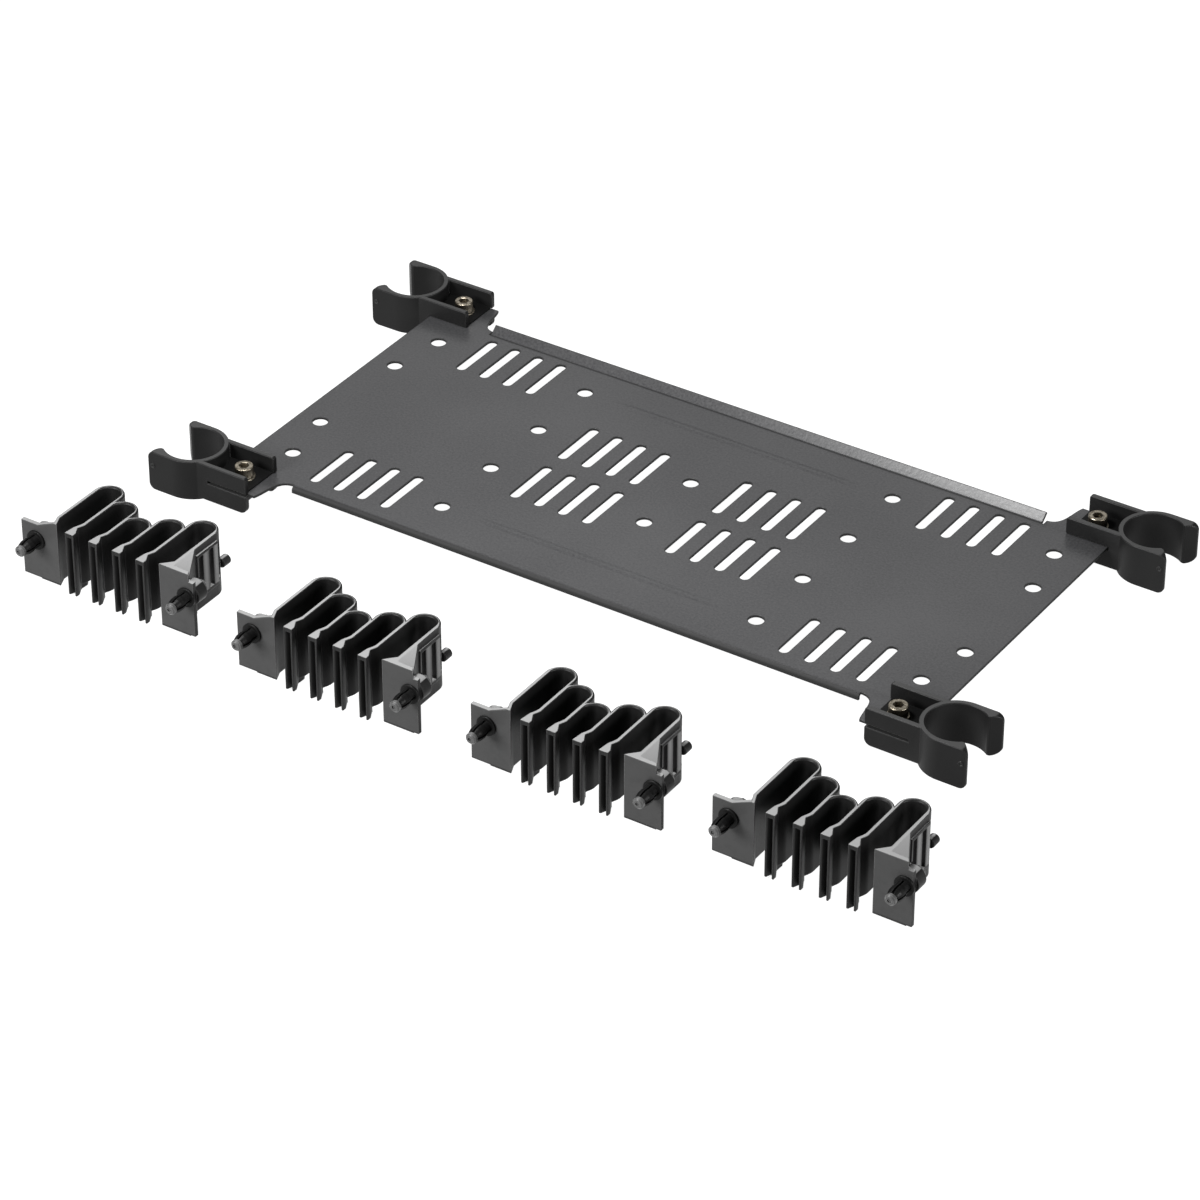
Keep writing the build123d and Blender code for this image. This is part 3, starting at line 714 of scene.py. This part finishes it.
def addRivet(ending):
    # the sleeve's box gives the rivet's middle and the tab's face, the pin's box how far back its knob stands
    low, high = (np.array(corner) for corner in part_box("rivet_sleeve_" + ending))
    at = np.array([(low[0] + high[0]) / 2, high[1], (low[2] + high[2]) / 2])
    section = roundedSection(
        rivet["collarInner"], rivet["collarRadius"], 0.0, rivet["collarDepth"], rivet["collarRound"])
    shells = [shell(turnedToFront(ringLattice(section, rivet["collarColumns"]), at), rowsClosed=True)]
    shells += [shell(turnedToFront(fingerLattice(quarter), at)) for quarter in range(4)]
    addPiece("rivetSleeve_" + ending, shells, "rivet", ["rivet_sleeve_" + ending])
    knobRear = float(high[1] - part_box("rivet_pin_" + ending)[1][1])
    pin = turnedToFront(pinLattice(rivet["fingerDepths"][-1], knobRear), at)
    addPiece("rivetPin_" + ending, [shell(pin)], "rivet_pin", ["rivet_pin_" + ending])


for number in range(1, 5):
    for side in ("left", "right"):
        addRivet(f"{number}_{side}")
print("push rivets made")


post = {"x": 0.2315, "y": 0.1015}

# A near-black plate laid on the sheet's ear between the channel's walls: painted shade inside each clamp
deck = {
    "start": 0.1883,
    "reach": 0.0174,
    "halfWidth": 0.01095,
    "thickness": 0.0009,
    "sunk": 0.0001,
    "corner": 0.0003,
    "rows": 25,
}


def addShadePlate(name, sx, sy):
    # a rounded section of x against z for each y, drawn with its ends at 0 and 1: the far end then moves to the
    # circle of the ring's middle, and each corner keeps its own small inset
    section = roundedSection(0.0, 1.0, -deck["sunk"], deck["thickness"], deck["corner"])
    across = np.linspace(-1, 1, deck["rows"])[:, None] * deck["halfWidth"]
    length = post["x"] - np.sqrt(deck["reach"]**2 - across**2) - deck["start"]
    far = section[:, 0] > 0.5
    x = deck["start"] + length * far[None, :] + (section[:, 0] - far)[None, :]
    lattice = np.stack([sx * x, sy * post["y"] + across + 0 * x, section[:, 1][None, :] + 0 * x], axis=2)
    addPiece(name, [shell(capped(lattice))], "clamp", finish=finishes["deck"])


for cornerName, (sx, sy) in cornerSigns.items():
    addShadePlate("clampDeck_" + cornerName, sx, sy)
print("clamp decks laid")


# A small moulded dimple near the tip of each jaw's outer face
dimple = {
    "radius": 0.0016,
    "rim": 0.00045,
    "stand": 0.0004,
    "dishMiddle": 0.00008,
    "dishEdge": 0.0001,
    "sunk": 0.0006,
    "x": 0.2445,
    "z": 0.0013,
    "faceY": 0.0188,
    "columns": 40,
}


def addDimples(name, sx, sy):
    # a rim of half-round section about a dished middle, one on each jaw, standing on the flat outer faces
    radius, rim = dimple["radius"], dimple["rim"]
    lattice = ringLattice(np.concatenate([
        [(0.0, dimple["dishMiddle"]), (radius - 2 * rim, dimple["dishEdge"])],
        arc(rim, 180, 0, 9) * [1, dimple["stand"] / rim] + [radius - rim, 0.0],
        [(radius, -dimple["sunk"]), (0.0, -dimple["sunk"])]]), dimple["columns"])
    shells = []
    for outward in (-1, 1):
        at = np.array([sx * dimple["x"], sy * post["y"] + outward * dimple["faceY"], dimple["z"]])
        shells.append(shell(turnedToFront(lattice, 0.0) * [1, -outward, 1] + at))
    addPiece(name, shells, "clamp")


for cornerName, (sx, sy) in cornerSigns.items():
    addDimples("jawDimples_" + cornerName, sx, sy)
print("jaw dimples made")


stage = {
    "floorHalf": 12.0,
    "floorTone": 0.10,
    "floorGlow": 1.0,
    "worldStrength": 0.2,
    "cameraTarget": (0.0206, -0.0956, 0.0),
    "cameraAzimuth": 33.2568,
    "cameraElevation": 33.9178,
    "cameraDistance": 2.5269,
    "lens": 150.0,
    "softboxes": {  # where each stands, what it faces, its two sides and its watts
        "rearSoftbox": ((-1.0, 1.5, 1.25), (0, -0.05, 0), (2.0, 0.9), 8),
        "keySoftbox": ((-0.10, -0.23, 0.588), (0.1, 0.05, 0), (0.14, 0.14), 7.0),
        "frontSoftbox": ((-0.7, -1.7, 0.8), (0, -0.1, 0), (1.0, 0.7), 60),
        "sideSoftbox": ((1.7, 0.1, 0.6), (0.1, -0.1, 0), (0.6, 0.6), 30),
    },
}


def makeFloor():
    half, low = stage["floorHalf"], cadBounds[0][2]
    corners = [(sx * half, sy * half, low) for sx, sy in ((-1, -1), (1, -1), (1, 1), (-1, 1))]
    mesh = bpy.data.meshes.new("studioFloor")
    mesh.from_pydata(corners, [], [(0, 1, 2, 3)])
    floor = bpy.data.objects.new("studioFloor", mesh)
    bpy.context.scene.collection.objects.link(floor)
    mesh.materials.append(Recipe("studioFloorPaper").finish({
        "Base Color": (*grey(stage["floorTone"]), 1.0), "Roughness": 0.9, "Specular IOR Level": 0.0,
        "Emission Color": (1.0, 1.0, 1.0, 1.0), "Emission Strength": stage["floorGlow"]}))


def makeLight(name, place, aim, size, watts):
    lamp = bpy.data.lights.new(name, "AREA")
    lamp.shape = "RECTANGLE"
    lamp.size, lamp.size_y = size
    lamp.energy = watts
    holder = bpy.data.objects.new(name, lamp)
    holder.location = place
    holder.rotation_euler = (Vector(aim) - Vector(place)).to_track_quat("-Z", "Y").to_euler()
    bpy.context.scene.collection.objects.link(holder)


def makeWorld():
    world = bpy.data.worlds.new("studioWorld")
    world.use_nodes = True
    background = world.node_tree.nodes["Background"]
    background.inputs["Color"].default_value = (1, 1, 1, 1)
    background.inputs["Strength"].default_value = stage["worldStrength"]
    bpy.context.scene.world = world
    bpy.context.scene.view_settings.view_transform = "Standard"


def makeCamera():
    turn, rise = math.radians(stage["cameraAzimuth"]), math.radians(stage["cameraElevation"])
    back = Vector((math.sin(turn) * math.cos(rise), -math.cos(turn) * math.cos(rise), math.sin(rise)))
    camera = bpy.data.cameras.new("productCamera")
    camera.lens = stage["lens"]
    camera.sensor_width = 36.0
    camera.clip_end = 50.0
    holder = bpy.data.objects.new("productCamera", camera)
    holder.location = Vector(stage["cameraTarget"]) + back * stage["cameraDistance"]
    holder.rotation_euler = (-back).to_track_quat("-Z", "Y").to_euler()
    bpy.context.scene.collection.objects.link(holder)
    bpy.context.scene.camera = holder


makeFloor()
for name, placing in stage["softboxes"].items():
    makeLight(name, *placing)
makeWorld()
makeCamera()
print("stage, lights and camera made")
